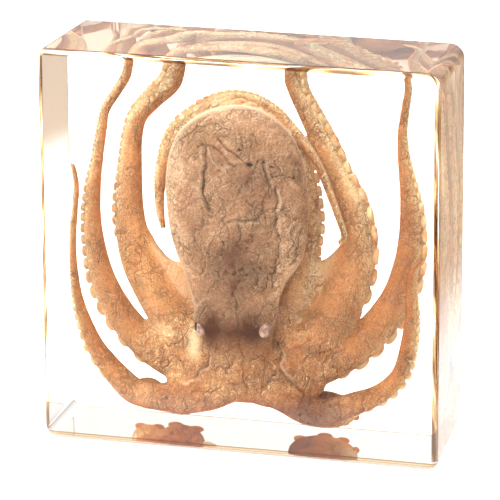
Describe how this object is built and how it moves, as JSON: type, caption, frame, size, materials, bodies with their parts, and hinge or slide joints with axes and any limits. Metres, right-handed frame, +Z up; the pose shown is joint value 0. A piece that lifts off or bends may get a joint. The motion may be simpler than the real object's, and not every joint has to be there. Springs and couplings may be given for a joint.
{
  "type": "octopus in resin block",
  "caption": "Square clear resin block that stands on its lower side, with a small preserved octopus cast inside, its arms swept up around the mantle.",
  "frame": {"origin": "middle of the block's box, on the surface that it stands on", "axes": "+Z up, +X to the right seen from the front, +Y from the front face to the back"},
  "size_m": [0.1498, 0.0552, 0.1497],
  "materials": {
    "octopus_skin": "preserved skin, taupe mantle and orange-tan arms with dark speckles",
    "clear_resin": "polished clear cast resin"
  },
  "bodies": {
    "root": {"octopus": "octopus_skin", "resin_front": "clear_resin", "resin_back": "clear_resin"}
  },
  "joints": []
}
